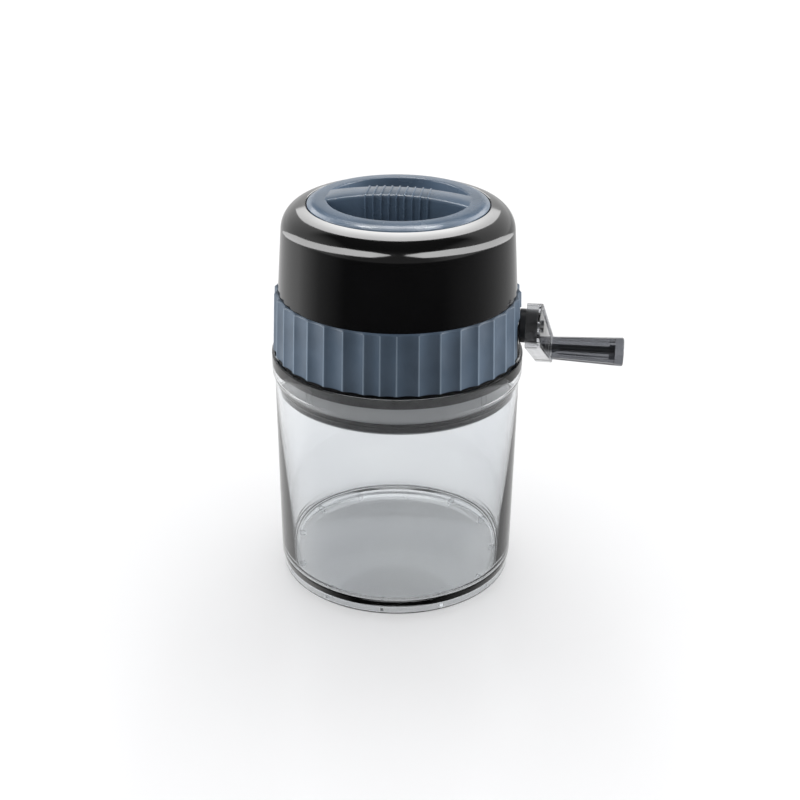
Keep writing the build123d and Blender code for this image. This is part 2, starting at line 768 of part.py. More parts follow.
with BuildPart() as lid:
    with BuildSketch(Plane.XZ):
        with BuildLine():
            crown = ThreePointArc(
                (lid_edge_r, lid_edge_z),
                (lid_edge_r - 3.4, lid_edge_z + lid_crown * 0.72),
                (pocket_r, lid_edge_z + lid_crown),
            )
            Polyline(
                crown @ 1,
                (0, lid_edge_z + lid_crown),
                (0, pocket_floor_z - lid_wall),
                (skirt_r, pocket_floor_z - lid_wall),
                (skirt_r, ledge_z),
                (lid_edge_r, ledge_z),
                crown @ 0,
            )
        make_face()
    revolve(axis=Axis.Z)
    turned(Plane.XY, pocket_floor_z, lid_edge_z + 10, pocket_r, mode=Mode.SUBTRACT)
    add(lid_bar.part)
    add(lid_bar_ribs.part)
    turned(
        Plane.XY,
        pocket_floor_z - lid_wall,
        lid_edge_z - 1,
        skirt_r - lid_wall,
        pocket_r + lid_wall,
        mode=Mode.SUBTRACT,
    )
    add(bar_hollow.part, mode=Mode.SUBTRACT)
    with BuildSketch(Plane.XY.offset(pocket_floor_z - lid_wall)):
        Rectangle(2 * pocket_r - 2 * lid_wall, 2 * (bar_half - lid_wall))
    extrude(amount=lid_wall + 1, mode=Mode.SUBTRACT)
save(lid.part, "lid")
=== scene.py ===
# Hand-cranked ice crusher: the looks of the jar, the grinder head, the lid and the side crank.
# Sizes in the dictionaries are millimetres. Pieces are built in metres, in the solid model's frame.

import json
from math import asin, atan2, cos, degrees, pi, radians, sin, tan

import bmesh
import bpy
from mathutils import Matrix, Vector

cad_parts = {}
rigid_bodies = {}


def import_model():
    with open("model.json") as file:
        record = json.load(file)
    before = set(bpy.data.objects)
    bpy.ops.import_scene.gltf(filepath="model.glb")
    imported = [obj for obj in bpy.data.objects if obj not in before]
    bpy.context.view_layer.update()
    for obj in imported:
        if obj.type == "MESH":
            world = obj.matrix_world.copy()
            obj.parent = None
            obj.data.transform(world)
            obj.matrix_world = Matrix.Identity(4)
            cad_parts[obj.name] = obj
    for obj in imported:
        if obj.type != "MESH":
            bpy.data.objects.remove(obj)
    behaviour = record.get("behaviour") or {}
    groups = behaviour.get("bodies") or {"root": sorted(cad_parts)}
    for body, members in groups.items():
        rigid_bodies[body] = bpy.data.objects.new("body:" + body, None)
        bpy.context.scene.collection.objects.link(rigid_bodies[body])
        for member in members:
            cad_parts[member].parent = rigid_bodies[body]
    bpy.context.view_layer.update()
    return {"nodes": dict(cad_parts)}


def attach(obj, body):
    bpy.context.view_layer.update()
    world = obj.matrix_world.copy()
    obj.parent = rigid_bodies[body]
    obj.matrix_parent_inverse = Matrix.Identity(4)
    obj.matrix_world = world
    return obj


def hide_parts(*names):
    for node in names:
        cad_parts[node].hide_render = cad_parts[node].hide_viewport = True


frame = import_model()
mm = 0.001
scene = bpy.context.scene
scene.view_settings.view_transform = "Standard"


def linear(code):  # sRGB hex to linear RGBA
    parts = [int(code[i:i + 2], 16) / 255 for i in (1, 3, 5)]
    return [c / 12.92 if c <= 0.04045 else ((c + 0.055) / 1.055) ** 2.4 for c in parts] + [1.0]


def addNode(tree, kind, inputs=None, **settings):
    node = tree.nodes.new(kind)
    for key, value in settings.items():
        setattr(node, key, value)
    for key, value in (inputs or {}).items():
        if isinstance(value, bpy.types.NodeSocket):
            tree.links.new(value, node.inputs[key])
        else:
            node.inputs[key].default_value = value
    return node


def roundedOutline(corners, steps=5):  # corners are (across, up) or (across, up, radius)
    points = []
    for i, corner in enumerate(corners):
        here = Vector(corner[:2])
        radius = corner[2] if len(corner) > 2 else 0
        if not radius:
            points.append(here)
            continue
        before = (Vector(corners[i - 1][:2]) - here).normalized()
        after = (Vector(corners[(i + 1) % len(corners)][:2]) - here).normalized()
        half = before.angle(after) / 2
        centre = here + (before + after).normalized() * radius / sin(half)
        first = here + before * radius / tan(half) - centre
        last = here + after * radius / tan(half) - centre
        turn = first.angle_signed(last)
        for k in range(steps + 1):
            points.append(centre + Matrix.Rotation(-turn * k / steps, 2) @ first)
    return points


def spun(corners, steps, roundSteps=5):  # a closed outline turned about the Z axis, in millimetres
    bm = bmesh.new()
    ring = [bm.verts.new((p.x, 0, p.y)) for p in roundedOutline(corners, roundSteps)]
    edges = [bm.edges.new((ring[i - 1], ring[i])) for i in range(len(ring))]
    edges = [e for e in edges if max(v.co.x for v in e.verts) > 1e-6]
    bmesh.ops.spin(bm, geom=ring + edges, cent=(0, 0, 0), axis=(0, 0, 1), angle=2 * pi,
                   steps=steps, use_merge=True, use_duplicate=False)
    bmesh.ops.remove_doubles(bm, verts=bm.verts, dist=1e-4)
    loose = [e for e in bm.edges if not e.link_faces]
    bmesh.ops.delete(bm, geom=loose, context="EDGES")
    bmesh.ops.recalc_face_normals(bm, faces=bm.faces)
    return bm


def slab(corners, low, high, steps=5):  # an outline in the XY plane, made as thick as low to high
    bm = bmesh.new()
    face = bm.faces.new([bm.verts.new((p.x, p.y, low)) for p in roundedOutline(corners, steps)])
    made = bmesh.ops.extrude_face_region(bm, geom=[face])
    top = [v for v in made["geom"] if isinstance(v, bmesh.types.BMVert)]
    bmesh.ops.translate(bm, verts=top, vec=(0, 0, high - low))
    bmesh.ops.recalc_face_normals(bm, faces=bm.faces)
    return bm


def softened(bm, edges, width, segments=3):
    bmesh.ops.bevel(bm, geom=edges, offset=width, offset_type="OFFSET", segments=segments,
                    profile=0.5, affect="EDGES", material=-1)


def joined(target, other, place=Matrix()):  # adds another bmesh's parts to this one
    mesh = bpy.data.meshes.new("part")
    other.transform(place)
    other.to_mesh(mesh)
    other.free()
    target.from_mesh(mesh)
    bpy.data.meshes.remove(mesh)


def alongX(y, z):  # turns a shape built about Z so that it lies about a line along +X
    return Matrix.Translation((0, y, z)) @ Matrix.Rotation(pi / 2, 4, "Y")


def carved(bm, cutters):  # takes the cutters' shapes out of the first one
    meshes = []
    for shape in [bm] + cutters:
        mesh = bpy.data.meshes.new("carving")
        shape.to_mesh(mesh)
        shape.free()
        meshes.append(bpy.data.objects.new("carving", mesh))
        scene.collection.objects.link(meshes[-1])
    for cutter in meshes[1:]:
        cut = meshes[0].modifiers.new("cut", "BOOLEAN")
        cut.operation = "DIFFERENCE"
        cut.solver = "EXACT"
        cut.object = cutter
    graph = bpy.context.evaluated_depsgraph_get()
    result = bmesh.new()
    result.from_mesh(meshes[0].evaluated_get(graph).to_mesh())
    for thing in meshes:
        mesh = thing.data
        bpy.data.objects.remove(thing)
        bpy.data.meshes.remove(mesh)
    return result


def boreCutter(radius, low, high, y, z):  # a rod along +X, to carve a round hole with
    rod = spun([(0, low), (radius, low), (radius, high), (0, high)], 64)
    rod.transform(alongX(y, z))
    return rod


def finishPiece(bm, name, material, body, replaced, sharp=32):
    bm.transform(Matrix.Scale(mm, 4))
    mesh = bpy.data.meshes.new(name)
    bm.to_mesh(mesh)
    bm.free()
    mesh.shade_smooth()
    mesh.set_sharp_from_angle(angle=radians(sharp))
    mesh.materials.append(material)
    piece = bpy.data.objects.new(name, mesh)
    scene.collection.objects.link(piece)
    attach(piece, body)
    if replaced:
        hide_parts(*replaced)
    return piece


def startMaterial(name):
    material = bpy.data.materials.new(name)
    material.use_nodes = True
    tree = material.node_tree
    tree.nodes.clear()
    where = addNode(tree, "ShaderNodeTexCoord").outputs["Object"]
    return material, tree, where


def noiseAt(tree, where, size, detail=2.0, rough=0.5):  # size is the pattern's size in millimetres
    return addNode(tree, "ShaderNodeTexNoise", {"Vector": where, "Scale": 1 / (size * mm),
                                                "Detail": detail, "Roughness": rough}).outputs["Fac"]


def spread(tree, value, low, high, fromLow=0.35, fromHigh=0.65):
    return addNode(tree, "ShaderNodeMapRange", {"Value": value, "From Min": fromLow, "From Max": fromHigh,
                                                "To Min": low, "To Max": high}).outputs["Result"]


def blendColours(tree, factor, low, high):
    return addNode(tree, "ShaderNodeMix", {0: factor, 6: low, 7: high}, data_type="RGBA").outputs[2]


def closeMaterial(tree, sockets, height=None, bump=0.0):
    if height is not None:
        sockets["Normal"] = addNode(tree, "ShaderNodeBump", {"Height": height, "Strength": 1.0,
                                                             "Distance": bump * mm}).outputs["Normal"]
    shader = addNode(tree, "ShaderNodeBsdfPrincipled", sockets)
    addNode(tree, "ShaderNodeOutputMaterial", {"Surface": shader.outputs[0]})


def mouldedPlastic(name, finish):
    # a tone that drifts a little, fine tool texture in the bump, and handled patches in the gloss
    material, tree, where = startMaterial(name)
    drift = noiseAt(tree, where, finish["driftSize"])
    tone = blendColours(tree, spread(tree, drift, 0, 1), linear(finish["dark"]), linear(finish["light"]))
    if "edge" in finish:  # painted highlight: ridges painted paler by how far they stand from the axis
        tone = paintedRidgeHighlight(tree, where, tone, finish)
    handled = noiseAt(tree, where, finish["handledSize"], 4.0)
    gloss = spread(tree, handled, *finish["roughness"])
    grain = noiseAt(tree, where, finish["grainSize"], 3.0, 0.6)
    sockets = {"Base Color": tone, "Roughness": gloss, "IOR": finish["ior"],
               "Specular IOR Level": finish.get("specular", 0.5),
               "Coat Weight": finish.get("coat", 0.0), "Coat Roughness": 0.04}
    closeMaterial(tree, sockets, grain, finish["grainDepth"])
    return material


# painted highlight: the ridge crests are coloured paler to stand in for the light they catch
def paintedRidgeHighlight(tree, where, tone, finish):
    parts = addNode(tree, "ShaderNodeSeparateXYZ", {"Vector": where})
    flat = addNode(tree, "ShaderNodeCombineXYZ", {"X": parts.outputs["X"], "Y": parts.outputs["Y"]})
    reach = addNode(tree, "ShaderNodeVectorMath", {0: flat.outputs[0]}, operation="LENGTH").outputs["Value"]
    # the band narrows upwards, so the height is added back before the reach is judged
    fall = addNode(tree, "ShaderNodeMath", {0: parts.outputs["Z"], 1: finish["taper"]}, operation="MULTIPLY")
    level = addNode(tree, "ShaderNodeMath", {0: reach, 1: fall.outputs[0]}, operation="ADD").outputs[0]
    highlightMask = spread(tree, level, 0, finish["edgeShare"], finish["crestLow"] * mm, finish["crestHigh"] * mm)
    return blendColours(tree, highlightMask, tone, linear(finish["edge"]))


def clearPlastic(name, finish):
    # clear styrene-acrylonitrile: faint flow waves from the moulding and a few softer patches
    material, tree, where = startMaterial(name)
    drift = noiseAt(tree, where, finish["driftSize"])
    tone = blendColours(tree, spread(tree, drift, 0, 1), linear(finish["dark"]), linear(finish["light"]))
    gloss = spread(tree, noiseAt(tree, where, finish["handledSize"], 3.0), *finish["roughness"])
    waves = noiseAt(tree, where, finish["waveSize"], 1.0)
    sockets = {"Base Color": tone, "Roughness": gloss, "IOR": finish["ior"],
               "Transmission Weight": finish.get("clear", 1.0)}
    closeMaterial(tree, sockets, waves, finish["waveDepth"])
    return material


def metal(name, finish):
    # steel with its colour drifting slightly and grinding lines drawn out along one axis
    material, tree, where = startMaterial(name)
    drift = noiseAt(tree, where, 9.0)
    tone = blendColours(tree, spread(tree, drift, 0, 1), linear(finish["dark"]), linear(finish["light"]))
    drawn = addNode(tree, "ShaderNodeMapping", {"Vector": where, "Scale": finish["stretch"]}).outputs[0]
    lines = noiseAt(tree, drawn, finish["lineSize"], 3.0)
    gloss = spread(tree, lines, *finish["roughness"])
    closeMaterial(tree, {"Base Color": tone, "Metallic": 1.0, "Roughness": gloss}, lines, finish["lineDepth"])
    return material


jarPlastic = clearPlastic("clearMouldedStyrene", {
    "dark": "#eff1f3", "light": "#f3f5f6", "driftSize": 60, "handledSize": 25, "roughness": (0.01, 0.03),
    "ior": 1.57, "waveSize": 30, "waveDepth": 0.02})
smokePlastic = clearPlastic("smokeTintedStyrene", {
    "dark": "#6b6d72", "light": "#75777c", "driftSize": 20, "handledSize": 9, "roughness": (0.04, 0.09),
    "ior": 1.57, "waveSize": 12, "waveDepth": 0.02})
armPlastic = clearPlastic("greyTintedStyrene", {
    "dark": "#c3c5c8", "light": "#cccdd0", "driftSize": 20, "handledSize": 9, "roughness": (0.03, 0.07),
    "ior": 1.57, "waveSize": 12, "waveDepth": 0.02})
ringPlastic = clearPlastic("milkyStyrene", {
    "dark": "#d3d4d6", "light": "#dddee0", "driftSize": 30, "handledSize": 15, "roughness": (0.12, 0.2),
    "ior": 1.57, "waveSize": 18, "waveDepth": 0.02, "clear": 0.35})
glossBlack = mouldedPlastic("polishedBlackAbs", {  # mirror-polished tool: deep black with crisp reflections
    "dark": "#0b0b0c", "light": "#101011", "driftSize": 45, "handledSize": 22, "roughness": (0.07, 0.11),
    "grainSize": 14, "grainDepth": 0.004, "ior": 1.53})
satinBlack = mouldedPlastic("satinBlackAbs", {
    "dark": "#181819", "light": "#222224", "driftSize": 25, "handledSize": 12, "roughness": (0.3, 0.42),
    "grainSize": 0.8, "grainDepth": 0.02, "ior": 1.53})
gripRubber = mouldedPlastic("softTouchSlateTpe", {  # matt thermoplastic rubber, with a painted highlight along the ridge crests
    "dark": "#384655", "light": "#3f4e5e", "driftSize": 18, "handledSize": 10, "roughness": (0.38, 0.5),
    # the edge colour and its share are a painted highlight on the ridge crests, not the rubber's own colour
    "grainSize": 0.5, "grainDepth": 0.012, "ior": 1.5, "edge": "#7c8b9a", "edgeShare": 0.6,
    "taper": 0.0433, "crestLow": 74.08, "crestHigh": 74.26})
lidPlastic = mouldedPlastic("satinSlateAbs", {
    "dark": "#485767", "light": "#506072", "driftSize": 22, "handledSize": 14, "roughness": (0.2, 0.28),
    "grainSize": 0.6, "grainDepth": 0.008, "ior": 1.53})
sealRubber = mouldedPlastic("mattGreySilicone", {
    "dark": "#151517", "light": "#1b1b1d", "driftSize": 12, "handledSize": 8, "roughness": (0.5, 0.65),
    "grainSize": 0.5, "grainDepth": 0.015, "ior": 1.41, "specular": 0.3})
collarBlack = mouldedPlastic("deepBlackAbs", {
    "dark": "#08080a", "light": "#0d0d0f", "driftSize": 25, "handledSize": 12, "roughness": (0.3, 0.42),
    "grainSize": 0.8, "grainDepth": 0.01, "ior": 1.53, "specular": 0.22})
bushAcetal = mouldedPlastic("naturalAcetal", {
    "dark": "#dcdbd5", "light": "#e8e7e2", "driftSize": 6, "handledSize": 5, "roughness": (0.28, 0.4),
    "grainSize": 0.5, "grainDepth": 0.01, "ior": 1.48})
bladeSteel = metal("groundStainless", {
    "dark": "#a9aaab", "light": "#c4c5c5", "stretch": (1, 0.08, 1), "lineSize": 0.4,
    "roughness": (0.24, 0.42), "lineDepth": 0.006})
screwSteel = metal("brightZincPlate", {
    "dark": "#b9bbbe", "light": "#d2d3d4", "stretch": (1, 1, 1), "lineSize": 0.8,
    "roughness": (0.14, 0.26), "lineDepth": 0.003})
print("finishes ready")


jarSize = {
    "floorTop": 7.0, "footHeight": 4.0, "footRadius": 66.3, "footInner": 63.3,
    "lowRadius": 67.2, "lowHeight": 8.5, "highRadius": 67.9, "highHeight": 118.0, "wall": 2.5,
    "rimRadius": 69.3, "rimInner": 66.6, "rimLow": 121.5, "height": 133.0,
    "ribs": 12, "ribReach": 5.0,
}


def makeJar(s):
    inLow, inHigh = s["lowRadius"] - s["wall"], s["highRadius"] - s["wall"]
    bm = spun([
        (0, s["floorTop"]), (inLow, s["floorTop"], 5.0), (inHigh, s["highHeight"], 4.0),
        (s["rimInner"], s["rimLow"], 4.0), (s["rimInner"], s["height"], 0.8),
        (s["rimRadius"], s["height"], 0.9), (s["rimRadius"], s["rimLow"], 3.0),
        (s["highRadius"], s["highHeight"], 3.0), (s["lowRadius"], s["lowHeight"], 1.6),
        (s["footRadius"], s["footHeight"], 1.2), (s["footRadius"], 0, 0.7),
        (s["footInner"], 0, 0.6), (s["footInner"], s["footHeight"], 0.6), (0, s["footHeight"]),
    ], 240)
    # small ribs drawn inwards from the foot's inner wall
    step = 2 * pi / s["ribs"]
    for k in range(s["ribs"]):
        ribFaces = []
        for face in bm.faces:
            middle = face.calc_center_median()
            if abs(middle.xy.length - s["footInner"]) > 0.2 or not 0.6 < middle.z < 3.4:
                continue
            turn = (atan2(middle.y, middle.x) - k * step + pi) % (2 * pi) - pi
            if 0 < turn < radians(1.5):
                ribFaces.append(face)
        made = bmesh.ops.extrude_discrete_faces(bm, faces=ribFaces)
        for face in made["faces"]:
            away = face.calc_center_median().xy.normalized()
            inwards = (-away.x * s["ribReach"], -away.y * s["ribReach"], 0)
            bmesh.ops.translate(bm, verts=list(face.verts), vec=inwards)
    piece = finishPiece(bm, "jarShell", jarPlastic, "jar", ["jar"], 40)
    piece.visible_shadow = False
    return piece


makeJar(jarSize)
print("jar made")


collarSize = {"sealRadius": 65.06, "neckRadius": 64.46, "skirtRadius": 62.26, "neckLow": 111.2,
              "sealLow": 112.2, "sealHigh": 117.8, "collarLow": 126.7, "sealSunk": 0.95,
              "ribPairs": 8, "ribTurn": 7.0, "ribReach": 0.25}


def makeSeal(s):
    low, high, outer = s["sealLow"], s["sealHigh"], s["sealRadius"]
    middle = (low + high) / 2
    bm = spun([
        (s["neckRadius"] - s["sealSunk"], low), (outer, low, 0.5), (outer, middle - 0.7, 0.3),
        (outer - 0.5, middle, 0.4), (outer, middle + 0.7, 0.3), (outer, high, 0.5),
        (s["neckRadius"] - s["sealSunk"], high),
    ], 240)
    finishPiece(bm, "sealRing", sealRubber, "head", ["jar_seal"], 50)


def makeNeck(s):
    bm = spun([
        (s["skirtRadius"] + 0.02, s["neckLow"], 0.3), (s["neckRadius"] - 0.2, s["neckLow"], 0.3),
        (s["neckRadius"] - 0.2, s["sealLow"]), (s["neckRadius"] - 1.0, s["sealLow"]),
        (s["neckRadius"] - 1.0, s["sealHigh"]), (s["neckRadius"], s["sealHigh"], 0.3),
        (s["neckRadius"], s["collarLow"] - 0.02), (s["skirtRadius"] + 0.02, s["collarLow"] - 0.02),
    ], 360)
    # paired guide ribs, drawn out a little from the wall
    for k in range(s["ribPairs"]):
        base = radians(s["ribTurn"] + 360 * k / s["ribPairs"])
        ribFaces = []
        for face in bm.faces:
            middle = face.calc_center_median()
            if abs(middle.xy.length - s["neckRadius"]) > 0.05 or middle.z < s["sealHigh"] + 0.5:
                continue
            turn = degrees((atan2(middle.y, middle.x) - base + pi) % (2 * pi) - pi)
            if -2 < turn < -1 or 1 < turn < 2:
                ribFaces.append(face)
        made = bmesh.ops.extrude_discrete_faces(bm, faces=ribFaces)
        for face in made["faces"]:
            away = face.calc_center_median().xy.normalized() * s["ribReach"]
            bmesh.ops.translate(bm, verts=list(face.verts), vec=(away.x, away.y, 0))
    piece = finishPiece(bm, "neckRing", ringPlastic, "head", ["neck_ring"], 35)
    piece.visible_shadow = False


makeSeal(collarSize)
makeNeck(collarSize)
print("seal and neck made")


shellSize = {
    "radius": 64.9, "wall": 2.5, "low": 134.2, "bandHigh": 167.7, "cornerRadius": 61.67,
    "cornerHeight": 212.82, "shoulder": 13.8,
    "openingRadius": 48.9, "height": 215.7, "ledgeHeight": 211.7, "ledgeRadius": 46.4,
    "innerTopRadius": 51.1, "innerTopHeight": 212.65, "innerRadius": 59.31, "innerHeight": 210.79,
    "innerShoulder": 9.0, "crankHeight": 149.5, "padHalf": 9.75, "padOut": 66.8, "padSunk": 0.3,
    "padEdge": 0.5, "bore": 8.4, "boreLow": 50, "boreHigh": 80,
}


def notchOutline(half, low):  # a round top about the crank, straight sides down to the lower edge
    arch = [(-half * sin(pi * k / 24), half * cos(pi * k / 24)) for k in range(25)]
    # built about Z and laid along +X, local -X is up
    return [(-low, half)] + [(-abs(x), y) for x, y in arch] + [(-low, -half)]


def makeHousing(s):
    wall, radius = s["wall"], s["radius"]
    drilled = []
    bm = spun([
        (radius, s["low"], 0.3), (radius, s["bandHigh"]),
        (s["cornerRadius"], s["cornerHeight"], s["shoulder"]),
        (s["openingRadius"], s["height"], 0.5), (s["openingRadius"], s["ledgeHeight"]),
        (s["ledgeRadius"], s["ledgeHeight"], 0.4), (s["ledgeRadius"], s["ledgeHeight"] - wall),
        (s["openingRadius"] + 1.5, s["ledgeHeight"] - wall), (s["innerTopRadius"], s["innerTopHeight"]),
        (s["innerRadius"], s["innerHeight"], s["innerShoulder"]), (radius - wall, s["bandHigh"]),
        (radius - wall, s["low"]),
    ], 288, 14)
    outline = notchOutline(s["padHalf"], s["low"] - s["crankHeight"])
    pad = slab(outline, radius - wall + s["padSunk"], s["padOut"])
    outerEdges = [e for e in pad.edges if all(abs(v.co.z - s["padOut"]) < 1e-4 for v in e.verts)]
    softened(pad, outerEdges, s["padEdge"], 3)
    pad.transform(alongX(0, s["crankHeight"]))
    for shape in (bm, pad):  # the crank's bore goes through the wall and the pad
        bore = boreCutter(s["bore"], s["boreLow"], s["boreHigh"], 0, s["crankHeight"])
        drilled.append(carved(shape, [bore]))
    bm, pad = drilled
    joined(bm, pad)
    finishPiece(bm, "domeShell", glossBlack, "head", ["upper_housing"], 30)


makeHousing(shellSize)
print("housing made")


bandSize = {
    "inner": 64.95, "lowRadius": 68.45, "highRadius": 67.0, "low": 134.2, "height": 33.5,
    "flutes": 36, "narrowFlutes": 2, "narrowShare": 0.75, "depth": 1.15, "ridge": 0.35,
    "notchHalf": 10.05, "crankHeight": 149.5, "stepsPerFlute": 16,
}


def makeBand(s):
    high = s["low"] + s["height"]
    units = s["flutes"] + s["narrowFlutes"] * s["narrowShare"]
    bm = spun([
        (s["inner"], s["low"]), (s["lowRadius"], s["low"], 0.5),
        (s["highRadius"], high - 0.6, 0.4), (s["highRadius"] - 0.7, high, 0.3), (s["inner"], high),
    ], int(units * s["stepsPerFlute"]))
    flute = 2 * pi / units
    start = -pi / 2 - s["narrowShare"] * flute
    shares = [s["narrowShare"]] * s["narrowFlutes"] + [1.0] * s["flutes"]
    lowEdges = [sum(shares[:k]) * flute for k in range(len(shares) + 1)]
    for v in bm.verts:
        radius = v.co.xy.length
        if radius < s["inner"] + 0.3:
            continue
        turn = (atan2(v.co.y, v.co.x) - start + 1e-6) % (2 * pi) - 1e-6
        k = max(i for i in range(len(shares)) if lowEdges[i] <= turn + 1e-5)
        width = shares[k] * flute
        part = (turn - lowEdges[k]) / width
        steps = round(shares[k] * s["stepsPerFlute"])
        step = round(part * steps)
        rim = s["ridge"] / 2 / (width * s["highRadius"])  # the ridge's half width as a share of the flute
        if step == 0:
            newPart, sink = 0, 0
        else:
            newPart = rim + (1 - 2 * rim) * (step - 1) / (steps - 2)
            across = 2 * (step - 1) / (steps - 2) - 1
            sink = s["depth"] * shares[k] * (1 - across * across)
        angle = start + lowEdges[k] + newPart * width
        v.co.x, v.co.y = (radius - sink) * cos(angle), (radius - sink) * sin(angle)
    notch = slab(notchOutline(s["notchHalf"], s["low"] - s["crankHeight"] - 1), 40, 80)
    notch.transform(alongX(0, s["crankHeight"]))
    bm = carved(bm, [notch])
    finishPiece(bm, "gripBand", gripRubber, "head", ["grip_band"], 40)


makeBand(bandSize)
print("grip band made")


lidSize = {
    "edgeRadius": 48.35, "edgeHeight": 215.6, "crown": 2.3, "pocketRadius": 37.75, "pocketDepth": 11.0,
    "skirtRadius": 46.0, "ledge": 211.7, "wall": 2.2, "barHalf": 8.2, "barEndHalf": 10.0, "barRise": 4.0,
    "crownRadius": 45.6, "crownFall": 0.25, "crownRound": 6.0, "barEdge": 1.6, "ribs": 9, "ribPitch": 4.1,
    "ribWidth": 0.9, "ribHeight": 0.6, "ribRound": 2.1, "ribEdge": 0.25,
}


def makeLid(s):
    top = s["edgeHeight"] + s["crown"]
    floor = top - s["pocketDepth"]
    bm = spun([
        (0, floor), (s["pocketRadius"], floor, 1.6), (s["pocketRadius"], top, 0.9),
        (s["crownRadius"], top - s["crownFall"], s["crownRound"]),
        (s["edgeRadius"], s["edgeHeight"], 0.5), (s["edgeRadius"], s["ledge"], 0.2),
        (s["skirtRadius"], s["ledge"]), (s["skirtRadius"], floor - s["wall"], 0.4), (0, floor - s["wall"]),
    ], 288, 7)

    def halfAt(x):
        return s["barHalf"] + (s["barEndHalf"] - s["barHalf"]) * (x / s["pocketRadius"]) ** 2

    def topAt(x):
        return top + s["barRise"] * (1 - (x / s["pocketRadius"]) ** 2)

    bar = bmesh.new()
    bmesh.ops.create_cube(bar, size=2, matrix=Matrix.Diagonal((s["pocketRadius"] + 1.5, 1, 1, 1)))
    lengthways = [e for e in bar.edges if abs(e.verts[0].co.x - e.verts[1].co.x) > 1]
    bmesh.ops.subdivide_edges(bar, edges=lengthways, cuts=39, use_grid_fill=True)
    for v in bar.verts:
        v.co.z = topAt(v.co.x) if v.co.z > 0 else floor - 0.5
        v.co.y = halfAt(v.co.x) * (1 if v.co.y > 0 else -1)
    topEdges = [e for e in bar.edges if all(v.co.z > floor for v in e.verts)
                and abs(e.verts[0].co.x - e.verts[1].co.x) > 0.1]
    softened(bar, topEdges, s["barEdge"], 5)
    joined(bm, bar)
    for k in range(s["ribs"]):
        x = (k - (s["ribs"] - 1) / 2) * s["ribPitch"]
        half, high = halfAt(x) + s["ribHeight"], topAt(x) + s["ribHeight"]
        rib = slab([
            (-half, floor - 0.5), (-half, high, s["ribRound"]), (half, high, s["ribRound"]),
            (half, floor - 0.5),
        ], -s["ribWidth"] / 2, s["ribWidth"] / 2, 7)
        rimEdges = [e for e in rib.edges if abs(e.verts[0].co.z - e.verts[1].co.z) < 1e-4]
        softened(rib, rimEdges, s["ribEdge"], 2)
        # the outline's across becomes Y and its up becomes Z, with the thickness along X
        upright = Matrix(((0, 0, 1, 0), (1, 0, 0, 0), (0, 1, 0, 0), (0, 0, 0, 1)))
        joined(bm, rib, Matrix.Translation((x, 0, 0)) @ upright)
    finishPiece(bm, "lidCap", lidPlastic, "lid", ["lid"], 38)


makeLid(lidSize)
print("lid made")


crankSize = {
    "height": 149.5, "sleeveRadius": 9.25, "armLow": 70.4, "armThick": 9.0, "slope": 0.118, "length": 48.0,
    "drop": 37.0, "hubRadius": 12.35, "endRadius": 8.5, "cover": 1.3, "groove": 0.6,
    "borders": (1.3, 1.1, 1.1), "edge": 0.5, "screwSeat": 1.2, "screwHead": 3.6, "screwBore": 1.55,
    "pinRadius": 2.5, "fitGap": 0.05,
    "handleSeat": 0.6, "seatRadius": 6.9,
}


def armOutline(s, inset=0.0):  # two circles and the straight sides that touch both
    hub, end = s["hubRadius"] - inset, s["endRadius"] - inset
    lean = asin((hub - end) / s["length"])
    points = []
    for k in range(41):
        angle = pi / 2 - lean + (pi + 2 * lean) * k / 40
        points.append((hub * cos(angle), hub * sin(angle)))
    for k in range(33):
        angle = -pi / 2 + lean + (pi - 2 * lean) * k / 32
        points.append((s["length"] + end * cos(angle), end * sin(angle)))
    return points


def armPlace(s):  # local X runs down the arm and local Z out along +X
    drop = radians(s["drop"])
    along = Vector((0, cos(drop), -sin(drop)))
    out = Vector((1, 0, 0))
    side = out.cross(along)
    turn = Matrix((along, side, out)).transposed().to_4x4()
    return Matrix.Translation((0, 0, s["height"])) @ turn


def makeArm(s):
    bm = slab(armOutline(s), s["armLow"], s["armLow"] + s["armThick"])
    outFace = max(bm.faces, key=lambda f: f.calc_center_median().z)
    rim = list(outFace.edges)
    softened(bm, rim, s["edge"], 3)
    outFace = max(bm.faces, key=lambda f: f.calc_center_median().z)
    sink = False
    for width in s["borders"]:
        inset = width if sink else width - s["edge"]
        bmesh.ops.inset_region(bm, faces=[outFace], thickness=inset, depth=0)
        made = bmesh.ops.extrude_face_region(bm, geom=[outFace])
        bmesh.ops.delete(bm, geom=[outFace], context="FACES_ONLY")
        verts = [v for v in made["geom"] if isinstance(v, bmesh.types.BMVert)]
        bmesh.ops.translate(bm, verts=verts, vec=(0, 0, s["groove"] * (1 if sink else -1)))
        newFaces = [f for f in made["geom"] if isinstance(f, bmesh.types.BMFace)]
        outFace = max(newFaces, key=lambda f: f.calc_area())
        sink = not sink
    for v in bm.verts:
        reach = v.co.x if v.co.z > s["armLow"] + 1 else max(0, v.co.x)
        v.co.z += s["slope"] * reach
    bm.transform(armPlace(s))
    core = s["armLow"] + s["armThick"] - s["cover"] - s["slope"] * s["hubRadius"]
    face = s["armLow"] + s["armThick"]
    drop = radians(s["drop"])
    pinY, pinZ = s["length"] * cos(drop), s["height"] - s["length"] * sin(drop)
    bm = carved(bm, [
        boreCutter(s["sleeveRadius"] + s["fitGap"], 50, core + s["fitGap"], 0, s["height"]),
        boreCutter(s["screwBore"], 60, face + 9, 0, s["height"]),
        boreCutter(s["screwHead"], face - s["screwSeat"], face + 9, 0, s["height"]),
        boreCutter(s["pinRadius"] + s["fitGap"], 60, 110, pinY, pinZ),
        boreCutter(s["seatRadius"], face + s["slope"] * s["length"] - s["handleSeat"], 110, pinY, pinZ),
    ])
    piece = finishPiece(bm, "crankArm", armPlastic, "crank", ["crank_arm"], 30)
    piece.visible_shadow = False


makeArm(crankSize)

sleeveSize = {"neckRadius": 6.5, "radius": 9.25, "low": 58.4, "step": 67.0, "screwRadius": 1.6}


